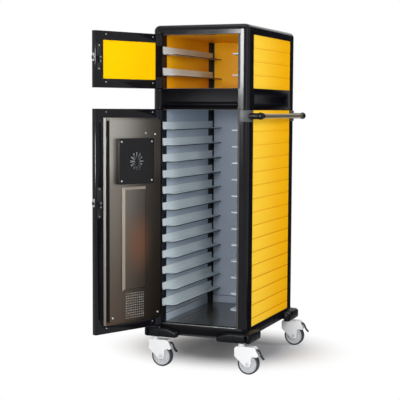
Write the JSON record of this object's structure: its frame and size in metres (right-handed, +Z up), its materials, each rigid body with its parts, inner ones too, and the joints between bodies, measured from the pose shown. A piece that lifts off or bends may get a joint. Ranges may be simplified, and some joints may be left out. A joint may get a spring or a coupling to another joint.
{
  "type": "meal tray cart",
  "caption": "Tall enclosed two-door meal tray cart on braked swivel castors, with tray rails, a heater cassette on the lower door and a side push handle.",
  "frame": {"origin": "on the floor, at the centre of the footprint with both doors standing open as pictured", "axes": "+Z up, +Y from the door side to the back, +X to the push-handle side"},
  "size_m": [0.7014, 1.111, 1.6],
  "materials": {
    "frame_black": "satin black moulding",
    "roof_black": "fine textured black",
    "base_black": "satin black",
    "chassis_black": "powder coat",
    "floor_grey": "satin",
    "panel_yellow": "glossy",
    "foam": "rigid foam",
    "liner_yellow": "satin",
    "liner_grey": "satin",
    "rail_grey": "satin pale grey",
    "upright_black": "matt",
    "steel": "brushed",
    "hinge_black": "black paint",
    "zinc": "zinc plated",
    "chrome": "polished",
    "stainless": "brushed stainless",
    "fan_black": "moulded",
    "motor_grey": "cast",
    "element_steel": "heat tinted",
    "seal_black": "matt",
    "handle_black": "satin",
    "handle_rod": "satin",
    "bumper_black": "matt",
    "castor_white": "moulded",
    "wheel_grey": "moulded",
    "tyre_grey": "non-marking",
    "pedal_black": "moulded",
    "latch_black": "moulded"
  },
  "bodies": {
    "cabinet": {"corner_post_front_left": "frame_black", "corner_post_front_right": "frame_black", "corner_post_rear_left": "frame_black", "corner_post_rear_right": "frame_black", "latch_strikes": "chrome", "top_frame": "frame_black", "roof_panel": "roof_black", "base_frame": "base_black", "floor_pan": "floor_grey", "chassis": "chassis_black", "mid_rails": "frame_black", "outer_panels": "panel_yellow", "insulation_boards": "foam", "upper_liner": "liner_yellow", "lower_liner": "liner_grey", "tray_rails": "rail_grey", "rail_uprights": "upright_black", "hinge_lugs_and_pins": "hinge_black", "door_gaskets": "seal_black", "handle_brackets": "handle_black", "handle_elbows": "handle_black", "handle_rod": "handle_rod", "corner_bumpers": "bumper_black"},
    "upper_door": {"upper_door_frame": "frame_black", "upper_door_panel": "panel_yellow", "upper_door_hinge_plates": "zinc", "upper_door_screws": "steel", "upper_latch_plates": "latch_black"},
    "upper_latch": {"upper_latch_lever": "latch_black", "upper_latch_cam": "chrome"},
    "lower_door": {"heater_cassette": "stainless", "duct_cover": "stainless", "lower_door_frame": "frame_black", "lower_door_panel": "panel_yellow", "lower_door_hinge_plates": "zinc", "lower_door_screws": "steel", "lower_latch_plates": "latch_black", "fan_cover": "fan_black", "fan_motor": "motor_grey", "heating_element": "element_steel", "power_inlet": "latch_black"},
    "lower_latch": {"lower_latch_lever": "latch_black", "lower_latch_cam": "chrome"},
    "fan": {"fan_impeller": "fan_black"},
    "castor_front_left": {"castor_fork_front_left": "castor_white"},
    "wheel_front_left": {"castor_wheel_front_left": "wheel_grey", "castor_tyre_front_left": "tyre_grey"},
    "pedal_front_left": {"castor_pedal_front_left": "pedal_black"},
    "castor_front_right": {"castor_fork_front_right": "castor_white"},
    "wheel_front_right": {"castor_wheel_front_right": "wheel_grey", "castor_tyre_front_right": "tyre_grey"},
    "pedal_front_right": {"castor_pedal_front_right": "pedal_black"},
    "castor_rear_left": {"castor_fork_rear_left": "castor_white"},
    "wheel_rear_left": {"castor_wheel_rear_left": "wheel_grey", "castor_tyre_rear_left": "tyre_grey"},
    "pedal_rear_left": {"castor_pedal_rear_left": "pedal_black"},
    "castor_rear_right": {"castor_fork_rear_right": "castor_white"},
    "wheel_rear_right": {"castor_wheel_rear_right": "wheel_grey", "castor_tyre_rear_right": "tyre_grey"},
    "pedal_rear_right": {"castor_pedal_rear_right": "pedal_black"}
  },
  "joints": [
    {"name": "upper_door_hinge", "type": "hinge", "parent": "cabinet", "child": "upper_door", "pos_m": [-0.16733, -0.19952, 1.431], "axis": [0, 0, -1], "range_deg": [-115, 60]},
    {"name": "upper_latch_turn", "type": "hinge", "parent": "upper_door", "child": "upper_latch", "pos_m": [-0.33291, -0.52504, 1.44], "axis": [-0.9063, 0.4226, 0], "range_deg": [0, 90]},
    {"name": "lower_door_hinge", "type": "hinge", "parent": "cabinet", "child": "lower_door", "pos_m": [-0.16733, -0.19952, 0.707], "axis": [0, 0, -1], "range_deg": [-115, 60]},
    {"name": "lower_latch_turn", "type": "hinge", "parent": "lower_door", "child": "lower_latch", "pos_m": [-0.33291, -0.52504, 0.795], "axis": [-0.9063, 0.4226, 0], "range_deg": [0, 90]},
    {"name": "fan_spin", "type": "hinge", "parent": "lower_door", "child": "fan", "pos_m": [-0.23826, -0.38712, 0.979], "axis": [-0.9063, 0.4226, 0], "continuous": true},
    {"name": "castor_swivel_front_left", "type": "hinge", "parent": "cabinet", "child": "castor_front_left", "pos_m": [-0.19333, -0.18352, 0.129], "axis": [0, 0, 1], "continuous": true},
    {"name": "wheel_spin_front_left", "type": "hinge", "parent": "castor_front_left", "child": "wheel_front_left", "pos_m": [-0.15733, -0.18352, 0.05], "axis": [0, 1, 0], "continuous": true},
    {"name": "brake_pedal_front_left", "type": "hinge", "parent": "castor_front_left", "child": "pedal_front_left", "pos_m": [-0.12133, -0.18352, 0.112], "axis": [0, 1, 0], "range_deg": [0, 14]},
    {"name": "castor_swivel_front_right", "type": "hinge", "parent": "cabinet", "child": "castor_front_right", "pos_m": [0.23867, -0.18352, 0.129], "axis": [0, 0, 1], "continuous": true},
    {"name": "wheel_spin_front_right", "type": "hinge", "parent": "castor_front_right", "child": "wheel_front_right", "pos_m": [0.27467, -0.18352, 0.05], "axis": [0, 1, 0], "continuous": true},
    {"name": "brake_pedal_front_right", "type": "hinge", "parent": "castor_front_right", "child": "pedal_front_right", "pos_m": [0.31067, -0.18352, 0.112], "axis": [0, 1, 0], "range_deg": [0, 14]},
    {"name": "castor_swivel_rear_left", "type": "hinge", "parent": "cabinet", "child": "castor_rear_left", "pos_m": [-0.19333, 0.52648, 0.129], "axis": [0, 0, 1], "continuous": true},
    {"name": "wheel_spin_rear_left", "type": "hinge", "parent": "castor_rear_left", "child": "wheel_rear_left", "pos_m": [-0.15733, 0.52648, 0.05], "axis": [0, 1, 0], "continuous": true},
    {"name": "brake_pedal_rear_left", "type": "hinge", "parent": "castor_rear_left", "child": "pedal_rear_left", "pos_m": [-0.12133, 0.52648, 0.112], "axis": [0, 1, 0], "range_deg": [0, 14]},
    {"name": "castor_swivel_rear_right", "type": "hinge", "parent": "cabinet", "child": "castor_rear_right", "pos_m": [0.23867, 0.52648, 0.129], "axis": [0, 0, 1], "continuous": true},
    {"name": "wheel_spin_rear_right", "type": "hinge", "parent": "castor_rear_right", "child": "wheel_rear_right", "pos_m": [0.27467, 0.52648, 0.05], "axis": [0, 1, 0], "continuous": true},
    {"name": "brake_pedal_rear_right", "type": "hinge", "parent": "castor_rear_right", "child": "pedal_rear_right", "pos_m": [0.31067, 0.52648, 0.112], "axis": [0, 1, 0], "range_deg": [0, 14]}
  ]
}
